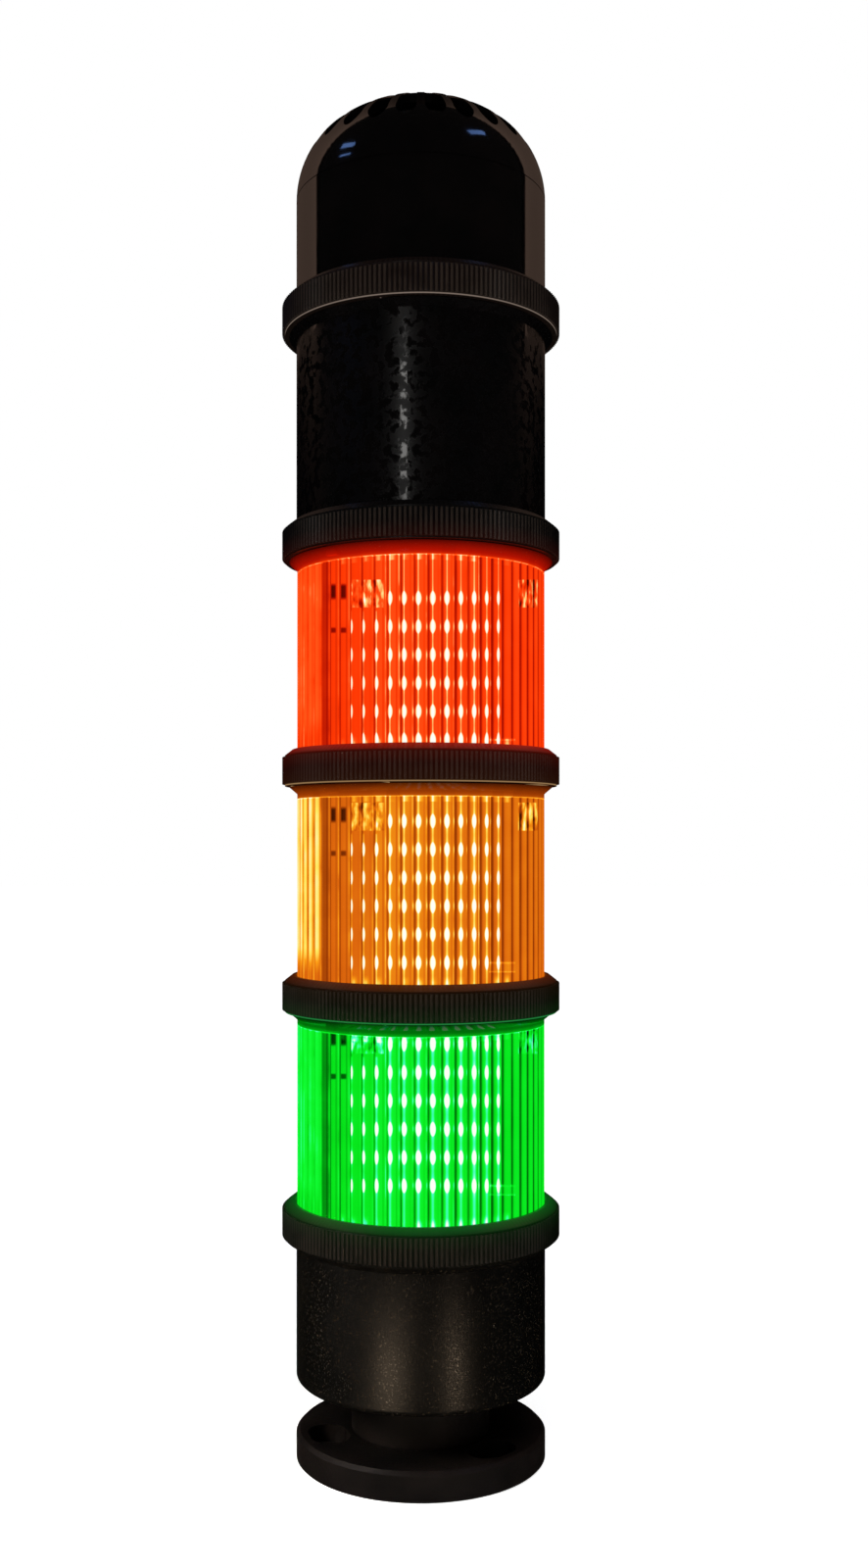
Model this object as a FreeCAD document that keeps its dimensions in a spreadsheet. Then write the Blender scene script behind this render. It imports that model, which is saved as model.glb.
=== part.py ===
"""Modular stack light: foot, terminal housing, three light units, bus module and sounder.

The tower stands on the foot's underside, with +Z up its axis and its front facing -Y. Lengths are
in millimetres and angles in degrees. Each unit seats on the one below it, and a knurled bayonet
ring turns about the tower's axis to lock the two together.
"""
import FreeCAD, Part
import Sketcher
import math
import os

# ------------------------------------------------------------------- driving dimensions
DIMENSIONS = {
    # the tower as a whole
    "housing_radius": 35.0,
    "shell_wall": 2.8,
    "unit_pitch": 63.0,
    "first_joint": 62.0,
    "fit_gap": 0.3,
    "slide_gap": 0.1,
    "sink": 0.5,
    # foot
    "foot_radius": 35.0,
    "foot_height": 8.1,
    "foot_bevel": 1.0,
    "neck_radius": 19.5,
    "housing_bottom": 22.3,
    "cable_bore_radius": 8.0,
    "spigot_radius": 15.0,
    "foot_hole_count": 3,
    "foot_hole_turn": 196.0,
    "foot_hole_circle": 26.5,
    "foot_hole_radius": 2.75,
    "foot_pocket_travel": 5.0,
    "foot_pocket_width": 11.0,
    "foot_pocket_floor": 3.2,
    "gasket_inner_radius": 29.6,
    "gasket_width": 3.6,
    "gasket_depth": 1.2,
    # terminal housing
    "edge_radius": 1.6,
    "housing_floor": 3.0,
    "neck_seal_inset": 1.4,
    "neck_seal_width": 2.0,
    "neck_seal_depth": 1.4,
    "clamp_radius": 18.6,
    "clamp_thickness": 2.0,
    "clamp_screw_count": 3,
    "clamp_screw_circle": 11.5,
    "clamp_screw_radius": 1.4,
    "clamp_screw_length": 9.0,
    "clamp_head_radius": 2.4,
    "clamp_head_height": 1.8,
    "grommet_bore_radius": 4.2,
    "grommet_length": 7.0,
    "grommet_lip": 1.0,
    "terminal_count": 5,
    "terminal_pitch": 5.3,
    "terminal_end": 1.2,
    "terminal_offset": 19.6,
    "terminal_depth": 8.5,
    "terminal_height": 13.0,
    "terminal_well_radius": 1.7,
    "terminal_well_depth": 5.0,
    "terminal_screw_height": 3.0,
    "wire_entry_width": 3.4,
    "wire_entry_level": 2.0,
    "wire_entry_height": 3.6,
    "wire_entry_depth": 6.0,
    # collar at the top of each shell
    "collar_flare": 2.0,
    "collar_height": 1.9,
    "rebate_ledge": 1.0,
    "rebate_depth": 3.7,
    # locking ring
    "ring_wall": 2.3,
    "ring_band": 8.6,
    "ring_cone": 1.6,
    "ring_cone_wall": 0.9,
    "knurl_count": 180,
    "knurl_depth": 0.62,
    "knurl_margin": 0.55,
    "ring_lug_thickness": 2.2,
    "lug_count": 3,
    "lug_angle": 26.0,
    "lug_turn": 30.0,
    "stop_angle": 3.0,
    "stop_slack": 0.8,
    # socket side of a joint
    "socket_plate_thickness": 3.0,
    "socket_tube_gap": 0.5,
    "socket_tube_wall": 2.0,
    "socket_lug_reach": 2.0,
    "socket_lug_thickness": 2.0,
    "receptacle_radius": 13.0,
    "receptacle_rise": 2.0,
    "receptacle_depth": 4.4,
    "leg_count": 3,
    "leg_turn": 242.0,
    "leg_width": 9.0,
    "leg_thickness": 1.6,
    "leg_drop": 10.0,
    "leg_window_width": 4.6,
    "leg_foot": 2.4,
    # plug side of a joint
    "joint_seal_height": 1.0,
    "plug_flange_reach": 1.4,
    "plug_flange_thickness": 2.0,
    "plug_wall": 1.6,
    "plug_web": 2.0,
    "plug_boss_radius": 12.0,
    "plug_boss_drop": 2.5,
    "pin_count": 6,
    "pin_circle": 9.0,
    "pin_turn": 30.0,
    "pin_width": 1.6,
    "pin_thickness": 0.8,
    "pin_rise": 1.5,
    "pin_slack": 0.4,
    "pin_tip_gap": 1.0,
    # lens
    "lens_inset": 0.2,
    "flute_count": 60,
    "flute_depth": 0.8,
    "lens_band": 1.4,
    "tab_turn": 229.0,
    "tab_width": 3.4,
    "tab_height": 2.3,
    "tab_rise": 1.7,
    # boards
    "board_margin": 7.2,
    "board_height": 49.0,
    "board_thickness": 1.6,
    "guide_width": 5.0,
    "guide_depth": 6.0,
    "guide_height": 5.4,
    "guide_bite": 1.5,
    "led_rows": 6,
    "led_pitch": 8.0,
    "led_level": 33.3,
    "led_width": 3.5,
    "led_height": 2.8,
    "led_thickness": 1.9,
    "chip_width": 5.0,
    "chip_height": 4.2,
    "chip_thickness": 1.2,
    "chip_offset": 19.0,
    "chip_level": 52.0,
    "resistor_count": 4,
    "resistor_size": 1.8,
    "resistor_pitch": 8.0,
    "relay_count": 2,
    "relay_width": 12.0,
    "relay_height": 15.0,
    "relay_depth": 9.0,
    "relay_pitch": 18.0,
    "relay_level": 22.0,
    # sounder
    "sounder_seam": 38.0,
    "seam_chamfer": 0.25,
    "dome_height": 27.6,
    "dome_shoulder": 24.0,
    "dome_wall": 2.4,
    "lip_height": 2.4,
    "lip_wall": 1.6,
    "slot_count": 24,
    "rib_width": 2.1,
    "slot_inner": 15.0,
    "slot_outer": 29.9,
    "slot_floor": 8.5,
    "crown_radius": 14.2,
    "crown_recess": 1.0,
    "ledge_level": 24.0,
    "ledge_thickness": 2.4,
    "ledge_width": 2.0,
    "transducer_radius": 20.0,
    "transducer_height": 9.0,
    "mouth_radius": 6.0,
    "mouth_depth": 2.0,
}

doc = FreeCAD.newDocument("stack_light")
sheet = doc.addObject("Spreadsheet::Sheet", "sizes")
for row, (alias, number) in enumerate(DIMENSIONS.items(), start=1):
    sheet.set(f"A{row}", alias)
    sheet.set(f"B{row}", str(number))
    sheet.setAlias(f"B{row}", alias)
doc.recompute()


class Size:
    """A dimension: its number, and the spreadsheet formula that gives it."""

    def __init__(self, number, formula):
        self.number = number
        self.formula = formula

    def __add__(self, other):
        other = as_size(other)
        return Size(self.number + other.number, f"({self.formula} + {other.formula})")

    def __sub__(self, other):
        other = as_size(other)
        return Size(self.number - other.number, f"({self.formula} - {other.formula})")

    def __mul__(self, other):
        other = as_size(other)
        return Size(self.number * other.number, f"({self.formula} * {other.formula})")

    def __truediv__(self, other):
        other = as_size(other)
        return Size(self.number / other.number, f"({self.formula} / {other.formula})")

    def __neg__(self):
        return as_size(0) - self


def as_size(value):
    return value if isinstance(value, Size) else Size(value, str(value))


def cell(alias):
    return Size(float(sheet.get(alias)), f"sizes.{alias}")


def whole(alias):
    return round(cell(alias).number)


def cosine(angle):
    return Size(math.cos(math.radians(angle.number)), f"cos({angle.formula})")


def sine(angle):
    return Size(math.sin(math.radians(angle.number)), f"sin({angle.formula})")


def root(value):
    return Size(math.sqrt(value.number), f"sqrt({value.formula})")


# ------------------------------------------------------------------- modelling helpers
parts = {}


def bind(item, path, size):
    item.setExpression(path, as_size(size).formula)


def move(item, x, y, z):
    for axis, size in zip("xyz", (x, y, z)):
        bind(item, f"Placement.Base.{axis}", size)


def new_body(name):
    body = doc.addObject("PartDesign::Body", name)
    body.AllowCompound = True
    return body


def origin_feature(body, role):
    return next(item for item in body.Origin.OriginFeatures if item.Role == role)


def new_sketch(body, role, level):
    sketch = body.newObject("Sketcher::SketchObject", "sketch")
    sketch.AttachmentSupport = (origin_feature(body, role), [""])
    sketch.MapMode = "FlatFace"
    bind(sketch, "AttachmentOffset.Base.z", level)
    return sketch


def constrain(sketch, kind, place, size):
    """Set a distance or radius in a sketch and tie it to its cells."""
    index = sketch.addConstraint(Sketcher.Constraint(kind, *place, size.number))
    if "sizes." in size.formula:
        sketch.setExpression(f"Constraints[{index}]", size.formula)


def arc_between(start, end, radius, clockwise):
    middle = (start + end) * 0.5
    half = (end - start) * 0.5
    left = FreeCAD.Vector(-half.y, half.x, 0).normalize()
    rise = math.sqrt(max(radius ** 2 - half.Length ** 2, 0))
    centre = middle - left * rise if clockwise else middle + left * rise
    first, last = (end, start) if clockwise else (start, end)
    angles = [math.atan2(point.y - centre.y, point.x - centre.x) for point in (first, last)]
    return Part.ArcOfCircle(Part.Circle(centre, FreeCAD.Vector(0, 0, 1), radius), *angles)


def outline(body, role, corners, bends, level=0):
    """Sketch a closed outline; bends gives the radius and the sense of each rounded side."""
    sketch = new_sketch(body, role, level)
    corners = [(as_size(x), as_size(y)) for x, y in corners]
    points = [FreeCAD.Vector(x.number, y.number, 0) for x, y in corners]
    ends = []
    for side, (start, end) in enumerate(zip(points, points[1:] + points[:1])):
        radius, clockwise = bends.get(side, (None, False))
        if radius:
            sketch.addGeometry(arc_between(start, end, radius.number, clockwise), False)
        else:
            sketch.addGeometry(Part.LineSegment(start, end), False)
        ends.append((2, 1) if clockwise else (1, 2))
    for side, (start, end) in enumerate(ends):
        after = (side + 1) % len(ends)
        sketch.addConstraint(Sketcher.Constraint("Coincident", side, end, after, ends[after][0]))
        constrain(sketch, "DistanceX", (side, start), corners[side][0])
        constrain(sketch, "DistanceY", (side, start), corners[side][1])
        if side in bends:
            constrain(sketch, "Radius", (side,), bends[side][0])
    return sketch


def revolve(body, corners, bends={}, angle=360):
    """Turn an outline of radii and heights about the tower's axis."""
    turned = body.newObject("PartDesign::Revolution", "turned")
    turned.Profile = outline(body, "XZ_Plane", corners, bends)
    turned.ReferenceAxis = (turned.Profile[0], ["V_Axis"])
    bind(turned, "Angle", angle)
    return turned


def pad(body, corners, bends, level, height):
    raised = body.newObject("PartDesign::Pad", "raised")
    raised.Profile = outline(body, "XY_Plane", corners, bends, level)
    bind(raised, "Length", height)
    return raised


def pocket(body, corners, bends, level, depth):
    """Cut an outline downwards from a level."""
    sunk = body.newObject("PartDesign::Pocket", "sunk")
    sunk.Profile = outline(body, "XY_Plane", corners, bends, level)
    bind(sunk, "Length", depth)
    return sunk


def drill(body, centre, radius, level, depth):
    sketch = new_sketch(body, "XY_Plane", level)
    x, y = (as_size(size) for size in centre)
    middle = FreeCAD.Vector(x.number, y.number, 0)
    sketch.addGeometry(Part.Circle(middle, FreeCAD.Vector(0, 0, 1), radius.number), False)
    constrain(sketch, "DistanceX", (0, 3), x)
    constrain(sketch, "DistanceY", (0, 3), y)
    constrain(sketch, "Radius", (0,), radius)
    sunk = body.newObject("PartDesign::Pocket", "drilled")
    sunk.Profile = sketch
    bind(sunk, "Length", depth)
    return sunk


def around(body, features, count):
    """Repeat features about the tower's axis."""
    pattern = body.newObject("PartDesign::PolarPattern", "around")
    pattern.Originals = features
    pattern.Axis = (origin_feature(body, "Z_Axis"), [""])
    pattern.Angle = 360
    bind(pattern, "Occurrences", count)
    body.Tip = pattern
    return pattern


def polar(radius, angle):
    return radius * cosine(angle), radius * sine(angle)


def turned_box(radius, half_depth, half_width, angle):
    """Corners of a rectangle at a radius, its depth along that radius."""
    x, y = polar(radius, angle)
    depth_x, depth_y = polar(half_depth, angle)
    width_x, width_y = polar(half_width, angle)
    return [
        (x - depth_x + width_y, y - depth_y - width_x),
        (x + depth_x + width_y, y + depth_y - width_x),
        (x + depth_x - width_y, y + depth_y + width_x),
        (x - depth_x - width_y, y - depth_y + width_x),
    ]


def sector(inner, outer, start, end):
    """Corners and bends of a part of a ring between two angles."""
    corners = [polar(inner, start), polar(outer, start), polar(outer, end), polar(inner, end)]
    return corners, {1: (outer, False), 3: (inner, True)}


def box(name, corner, extent):
    block = doc.addObject("Part::Box", name)
    for side, size in zip(("Length", "Width", "Height"), extent):
        bind(block, side, size)
    move(block, *corner)
    return block


def cylinder(name, foot_point, radius, height):
    rod = doc.addObject("Part::Cylinder", name)
    bind(rod, "Radius", radius)
    bind(rod, "Height", height)
    move(rod, *foot_point)
    return rod


def joined(kind, name, members):
    """A boolean or a compound of several members."""
    result = doc.addObject(kind, name)
    if kind == "Part::MultiFuse":
        result.Shapes = members
    elif kind == "Part::Cut":
        result.Base, result.Tool = members
    else:
        result.Links = members
    return result


def finish(item, label, height=0):
    """Label a finished sub-part and set it at its height on the tower."""
    item.Label = label
    bind(item, "Placement.Base.z", height)
    parts[label] = item


# ------------------------------------------------------------------- sizes shared by the parts
shell_bore = cell("housing_radius") - cell("shell_wall")
floor_top = cell("housing_bottom") + cell("housing_floor")
pocket_gap = cell("slide_gap") / 2

# heights in a unit's own frame, whose zero is the lower edge of the ring below it
collar_gap = cell("fit_gap")
plate_bottom = -collar_gap - cell("rebate_depth")
plate_top = plate_bottom + cell("socket_plate_thickness")
lug_floor = cell("ring_lug_thickness") + cell("fit_gap")
tube_top = lug_floor + cell("socket_lug_thickness")
web_bottom = tube_top + cell("joint_seal_height")
web_top = web_bottom + cell("plug_web")
flange_top = lug_floor + cell("plug_flange_thickness")
shell_top = cell("unit_pitch") - collar_gap
shell_ledge = shell_top - cell("rebate_depth")

# radii of the pieces that meet in a joint, from the bore of a shell outwards and inwards
plug_radius = shell_bore - cell("slide_gap")
plug_inner = plug_radius - cell("plug_wall")
tube_radius = plug_inner - cell("socket_tube_gap") - cell("socket_lug_reach")
tube_bore = tube_radius - cell("socket_tube_wall")
rebate_radius = shell_bore + cell("rebate_ledge")
collar_radius = cell("housing_radius") + cell("collar_flare")
flange_radius = cell("housing_radius") + cell("plug_flange_reach")
ring_bore = flange_radius + cell("fit_gap")
ring_mouth = cell("housing_radius") + cell("fit_gap")
ring_radius = ring_bore + cell("ring_wall")
lens_radius = cell("housing_radius") - cell("lens_inset")
board_width = (shell_bore - cell("board_margin")) * 2


def joint_height(number):
    """Height of the lower edge of a locking ring, counted from the bottom."""
    return cell("first_joint") + cell("unit_pitch") * (number - 1)


# ------------------------------------------------------------------- foot and terminal housing
seal_inner = cell("spigot_radius") + cell("neck_seal_inset")
seal_outer = seal_inner + cell("neck_seal_width")
groove_outer = cell("gasket_inner_radius") + cell("gasket_width")


def screw_pockets(body):
    """Oblong pockets in the foot, each round a hole for a screw that holds the tower down."""
    width, turn = cell("foot_pocket_width"), cell("foot_hole_turn")
    top, floor = cell("foot_height"), cell("foot_pocket_floor")
    corners = turned_box(cell("foot_hole_circle"), width / 2, cell("foot_pocket_travel") / 2, turn)
    end = (width * 0.505, False)
    recess = pocket(body, corners, {0: end, 2: end}, top, top - floor)
    around(body, [recess], cell("foot_hole_count"))
    hole = drill(body, polar(cell("foot_hole_circle"), turn), cell("foot_hole_radius"), floor, floor)
    around(body, [hole], cell("foot_hole_count"))


def clamp_holes(body, radius, level, depth):
    hole = drill(body, (cell("clamp_screw_circle"), 0), radius, level, depth)
    around(body, [hole], cell("clamp_screw_count"))


def foot():
    radius, top, bevel = cell("foot_radius"), cell("foot_height"), cell("foot_bevel")
    groove_floor = cell("housing_bottom") - cell("neck_seal_depth")
    body = new_body("foot_body")
    revolve(body, [
        (cell("cable_bore_radius"), 0),
        (cell("gasket_inner_radius"), 0),
        (cell("gasket_inner_radius"), cell("gasket_depth")),
        (groove_outer, cell("gasket_depth")),
        (groove_outer, 0),
        (radius - bevel / 2, 0),
        (radius, bevel / 2),
        (radius, top - bevel),
        (radius - bevel, top),
        (cell("neck_radius"), top),
        (cell("neck_radius"), cell("housing_bottom")),
        (seal_outer, cell("housing_bottom")),
        (seal_outer, groove_floor),
        (seal_inner, groove_floor),
        (seal_inner, cell("housing_bottom")),
        (cell("spigot_radius"), cell("housing_bottom")),
        (cell("spigot_radius"), floor_top),
        (cell("cable_bore_radius"), floor_top),
    ])
    screw_pockets(body)
    clamp_holes(body, cell("clamp_screw_radius") + pocket_gap, floor_top,
                cell("clamp_screw_length") - cell("clamp_thickness") + cell("fit_gap"))
    finish(body, "foot")


def ring_washer(label, inner, outer, level, top, height=0):
    body = new_body(label + "_body")
    revolve(body, [(inner, level), (outer, level), (outer, top), (inner, top)])
    finish(body, label, height)


def collar_outline(radius):
    """The flared collar and stepped mouth at the top of a shell of the given radius."""
    return [
        (radius, shell_top - cell("collar_height")),
        (collar_radius, shell_top),
        (rebate_radius, shell_top),
        (rebate_radius, shell_ledge),
        (shell_bore, shell_ledge),
    ]


def base_housing():
    radius, edge = cell("housing_radius"), cell("edge_radius")
    drop = cell("first_joint") - cell("unit_pitch")
    bottom = cell("housing_bottom") - drop
    floor = floor_top - drop
    hole = cell("spigot_radius") + cell("slide_gap")
    body = new_body("base_housing_body")
    revolve(body, [(hole, bottom), (radius - edge, bottom), (radius, bottom + edge)]
            + collar_outline(radius) + [(shell_bore, floor), (hole, floor)],
            {1: (edge, False)})
    finish(body, "base_housing", drop)


def clamp_plate():
    top = floor_top + cell("clamp_thickness")
    body = new_body("clamp_plate_body")
    revolve(body, [
        (cell("cable_bore_radius"), floor_top),
        (cell("clamp_radius"), floor_top),
        (cell("clamp_radius"), top),
        (cell("cable_bore_radius"), top),
    ])
    clamp_holes(body, cell("clamp_screw_radius") + cell("slide_gap"), top, cell("clamp_thickness"))
    finish(body, "clamp_plate")


def clamp_screws():
    """Cheese-head screws, one solid each."""
    seat = floor_top + cell("clamp_thickness")
    screws = []
    for number in range(whole("clamp_screw_count")):
        centre = polar(cell("clamp_screw_circle"), as_size(360) / cell("clamp_screw_count") * number)
        shank = cylinder("clamp_shank", (*centre, seat - cell("clamp_screw_length")),
                         cell("clamp_screw_radius"), cell("clamp_screw_length") + cell("sink"))
        head = cylinder("clamp_head", (*centre, seat), cell("clamp_head_radius"),
                        cell("clamp_head_height"))
        screws.append(joined("Part::MultiFuse", "clamp_screw", [shank, head]))
    finish(joined("Part::Compound", "clamp_screw_set", screws), "clamp_screws")


def cable_grommet():
    """A rubber sleeve in the neck's bore, with its lip on the clamp plate."""
    seat = floor_top + cell("clamp_thickness")
    radius = cell("cable_bore_radius")
    body = new_body("cable_grommet_body")
    revolve(body, [
        (cell("grommet_bore_radius"), seat - cell("grommet_length")),
        (radius - cell("slide_gap"), seat - cell("grommet_length")),
        (radius - cell("slide_gap"), seat),
        (radius + cell("grommet_lip"), seat),
        (radius + cell("grommet_lip"), seat + cell("grommet_lip")),
        (cell("grommet_bore_radius"), seat + cell("grommet_lip")),
    ])
    finish(body, "cable_grommet")


def terminal_row():
    """Where each terminal stands across the block."""
    middle = (cell("terminal_count") - 1) / 2
    return [cell("terminal_pitch") * (as_size(number) - middle)
            for number in range(whole("terminal_count"))]


def terminal_block():
    width = cell("terminal_pitch") * cell("terminal_count") + cell("terminal_end") * 2
    front, depth = cell("terminal_offset"), cell("terminal_depth")
    top = floor_top + cell("terminal_height")
    block = box("terminal_body", (-width / 2, front, floor_top),
                (width, depth, cell("terminal_height")))
    cutters = []
    for x in terminal_row():
        well = (x, front + depth / 2, top - cell("terminal_well_depth"))
        cutters.append(cylinder("terminal_well", well, cell("terminal_well_radius"),
                                cell("terminal_well_depth") + cell("sink")))
        entry = (x - cell("wire_entry_width") / 2, front - cell("sink"),
                 floor_top + cell("wire_entry_level"))
        cutters.append(box("wire_entry", entry, (cell("wire_entry_width"),
                       cell("wire_entry_depth") + cell("sink"), cell("wire_entry_height"))))
    cutter = joined("Part::MultiFuse", "terminal_cutter", cutters)
    finish(joined("Part::Cut", "terminal_cut", (block, cutter)), "terminal_block")


def terminal_screws():
    floor = floor_top + cell("terminal_height") - cell("terminal_well_depth")
    middle = cell("terminal_offset") + cell("terminal_depth") / 2
    screws = [cylinder("terminal_screw", (x, middle, floor),
                       cell("terminal_well_radius") - cell("slide_gap"),
                       cell("terminal_screw_height")) for x in terminal_row()]
    finish(joined("Part::Compound", "terminal_screw_set", screws), "terminal_screws")


# ------------------------------------------------------------------- the bayonet joint
def plain_housing(label, height):
    """A straight black shell with a collar, which stands on its plug plate."""
    radius = cell("housing_radius")
    body = new_body(label + "_body")
    revolve(body, [(shell_bore, flange_top), (radius, flange_top)] + collar_outline(radius))
    finish(body, label, height)


def socket_plate(label, height, legs=False):
    """The deck at the top of a unit: a tube with bayonet lugs round a contact receptacle."""
    tube, inside = tube_radius, cell("receptacle_radius")
    receptacle_top = plate_top + cell("receptacle_rise")
    rim = rebate_radius - cell("slide_gap")
    body = new_body(label + "_body")
    revolve(body, [
        (0, plate_bottom),
        (rim, plate_bottom),
        (rim, plate_top),
        (tube, plate_top),
        (tube, tube_top),
        (tube_bore, tube_top),
        (tube_bore, plate_top),
        (inside, plate_top),
        (inside, receptacle_top),
        (0, receptacle_top),
    ])
    root_radius = tube - cell("socket_tube_wall") / 2
    tip_radius = tube + cell("socket_lug_reach")
    edge = cell("lug_angle") / 2
    lug = pad(body, *sector(root_radius, tip_radius, -edge, edge), lug_floor,
              cell("socket_lug_thickness"))
    features = [lug]
    for start in (-edge - cell("stop_slack") - cell("stop_angle"),
                  edge + cell("lug_turn") + cell("stop_slack")):
        features.append(pad(body, *sector(root_radius, tip_radius, start,
                                          start + cell("stop_angle")),
                            plate_top - cell("sink"), lug_floor - plate_top + cell("sink")))
    around(body, features, cell("lug_count"))
    slack = cell("pin_slack")
    hole = turned_box(cell("pin_circle"), cell("pin_thickness") / 2 + slack,
                      cell("pin_width") / 2 + slack, cell("pin_turn"))
    around(body, [pocket(body, hole, {}, receptacle_top, cell("receptacle_depth"))],
           cell("pin_count"))
    if legs:
        corner, half_leg = shell_bore - cell("fit_gap"), cell("leg_width") / 2
        radius = root(corner * corner - half_leg * half_leg) - cell("leg_thickness") / 2
        turn = cell("leg_turn")
        leg = pad(body, turned_box(radius, cell("leg_thickness") / 2, half_leg, turn),
                  {}, plate_bottom - cell("leg_drop"), cell("leg_drop") + cell("sink"))
        window = pocket(body, turned_box(radius, cell("leg_thickness"),
                                         cell("leg_window_width") / 2, turn),
                        {}, plate_bottom, cell("leg_drop") - cell("leg_foot"))
        around(body, [leg, window], cell("leg_count"))
    finish(body, label, height)


def plug_plate(label, height, board=False):
    """The floor of a unit: the flange that carries its ring, and the holes for its contacts."""
    boss_bottom = web_bottom - cell("plug_boss_drop")
    body = new_body(label + "_body")
    revolve(body, [
        (0, boss_bottom),
        (cell("plug_boss_radius"), boss_bottom),
        (cell("plug_boss_radius"), web_bottom),
        (plug_inner, web_bottom),
        (plug_inner, lug_floor),
        (flange_radius, lug_floor),
        (flange_radius, flange_top),
        (plug_radius, flange_top),
        (plug_radius, web_top),
        (0, web_top),
    ])
    hole = turned_box(cell("pin_circle"), cell("pin_thickness") / 2 + pocket_gap,
                      cell("pin_width") / 2 + pocket_gap, cell("pin_turn"))
    around(body, [pocket(body, hole, {}, web_top, web_top - boss_bottom)], cell("pin_count"))
    if board:
        across = as_size(0)
        edge = board_width / 2
        centre = edge - cell("guide_bite") + cell("guide_width") / 2
        guide = pad(body, turned_box(centre, cell("guide_width") / 2, cell("guide_depth") / 2,
                                     across), {}, web_top - cell("sink"),
                    cell("guide_height") + cell("sink"))
        slot = pocket(body, turned_box(edge / 2, edge / 2 + cell("slide_gap"),
                                       cell("board_thickness") / 2 + cell("slide_gap"), across),
                      {}, web_top + cell("guide_height"), cell("guide_height"))
        around(body, [guide, slot], 2)
    finish(body, label, height)


def contact_pins(label, height):
    """Flat contact blades that reach from the unit's board side down into the receptacle."""
    bottom = plate_top + cell("receptacle_rise") - cell("receptacle_depth") + cell("pin_tip_gap")
    body = new_body(label + "_body")
    blade = pad(body, turned_box(cell("pin_circle"), cell("pin_thickness") / 2,
                                 cell("pin_width") / 2, cell("pin_turn")),
                {}, bottom, web_top + cell("pin_rise") - bottom)
    around(body, [blade], cell("pin_count"))
    finish(body, label, height)


def knurled_band():
    """The ribs of a locking ring, as one band with a rib every few degrees."""
    crest = ring_radius.number
    valley = crest - cell("knurl_depth").number
    steps = 2 * whole("knurl_count")
    rim = []
    for step in range(steps + 1):
        reach = crest if step % 2 else valley
        turn = 2 * math.pi * step / steps
        rim.append(FreeCAD.Vector(reach * math.cos(turn), reach * math.sin(turn), 0))
    face = Part.Face(Part.makePolygon(rim))
    hole = Part.Face(Part.Wire(Part.makeCircle(valley - cell("sink").number * 2)))
    return extruded("knurl", face.cut(hole), cell("knurl_margin"),
                    cell("ring_band") - cell("knurl_margin") * 2)


def fluted_wall():
    """The convex flutes of a lens, as one wall with an arc for each flute."""
    crest = lens_radius.number
    valley = crest - cell("flute_depth").number
    pitch = 2 * math.pi / whole("flute_count")
    arcs = []
    for number in range(whole("flute_count")):
        ends = []
        for reach, turn in ((valley, -0.5), (crest, 0), (valley, 0.5)):
            angle = (number + turn) * pitch
            ends.append(FreeCAD.Vector(reach * math.cos(angle), reach * math.sin(angle), 0))
        arcs.append(Part.Arc(*ends).toShape())
    face = Part.Face(Part.Wire(arcs))
    hole = Part.Face(Part.Wire(Part.makeCircle(valley - cell("sink").number)))
    return extruded("flute", face.cut(hole), flange_top,
                    shell_top - cell("collar_height") - cell("lens_band") - flange_top)


def extruded(name, face, level, height):
    """Raise a worked-out outline from a level."""
    pattern = doc.addObject("Part::Feature", name + "_outline")
    pattern.Shape = face
    raised = doc.addObject("Part::Extrusion", name + "_wall")
    raised.Base = pattern
    raised.Dir = FreeCAD.Vector(0, 0, 1)
    raised.Solid = True
    bind(raised, "LengthFwd", height)
    bind(raised, "Placement.Base.z", level)
    return raised


def locking_ring(label, height, band):
    """A knurled ring whose lip holds the unit above and whose lugs hook the unit below."""
    wall = ring_radius - cell("knurl_depth") - cell("sink") / 4
    lip = flange_top + cell("fit_gap")
    ring_top = cell("ring_band") + cell("ring_cone")
    body = new_body(label + "_body")
    revolve(body, [
        (ring_bore, 0),
        (wall, 0),
        (wall, cell("ring_band")),
        (ring_mouth + cell("ring_cone_wall"), ring_top),
        (ring_mouth, ring_top),
        (ring_mouth, lip),
        (ring_bore, lip),
    ])
    edge = cell("lug_angle") / 2
    lug = pad(body, *sector(tube_radius + cell("fit_gap"), ring_bore + cell("sink"),
                            -edge, edge), 0, cell("ring_lug_thickness"))
    around(body, [lug], cell("lug_count"))
    finish(joined("Part::MultiFuse", label + "_fused", [body, band]), label, height)


# ------------------------------------------------------------------- light units and bus module
def lens(label, height, flutes):
    """A clear shell: a plain core and collar, flutes all round and a tab beside the joint."""
    radius = lens_radius
    core = radius - cell("flute_depth") - cell("sink") / 4
    band_bottom = shell_top - cell("collar_height") - cell("lens_band")
    body = new_body(label + "_body")
    revolve(body, [
        (shell_bore, flange_top),
        (core, flange_top),
        (core, band_bottom),
        (radius, band_bottom),
    ] + collar_outline(radius))
    rise = cell("tab_rise")
    pad(body, turned_box(radius, rise, cell("tab_width") / 2, cell("tab_turn")), {},
        shell_top - cell("tab_height"), cell("tab_height"))
    finish(joined("Part::MultiFuse", label + "_fused", [body, flutes]), label, height)


def upright_board(label, height):
    """A board that stands on the plug plate, between its guides."""
    board = box(label + "_panel", (-board_width / 2, -cell("board_thickness") / 2, web_top),
                (board_width, cell("board_thickness"), cell("board_height")))
    finish(joined("Part::Compound", label + "_set", [board]), label, height)


def faces_of_board(thickness):
    """Where a component of some thickness starts on the front and on the back of a board."""
    half = cell("board_thickness") / 2
    return -half - thickness, half


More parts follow.
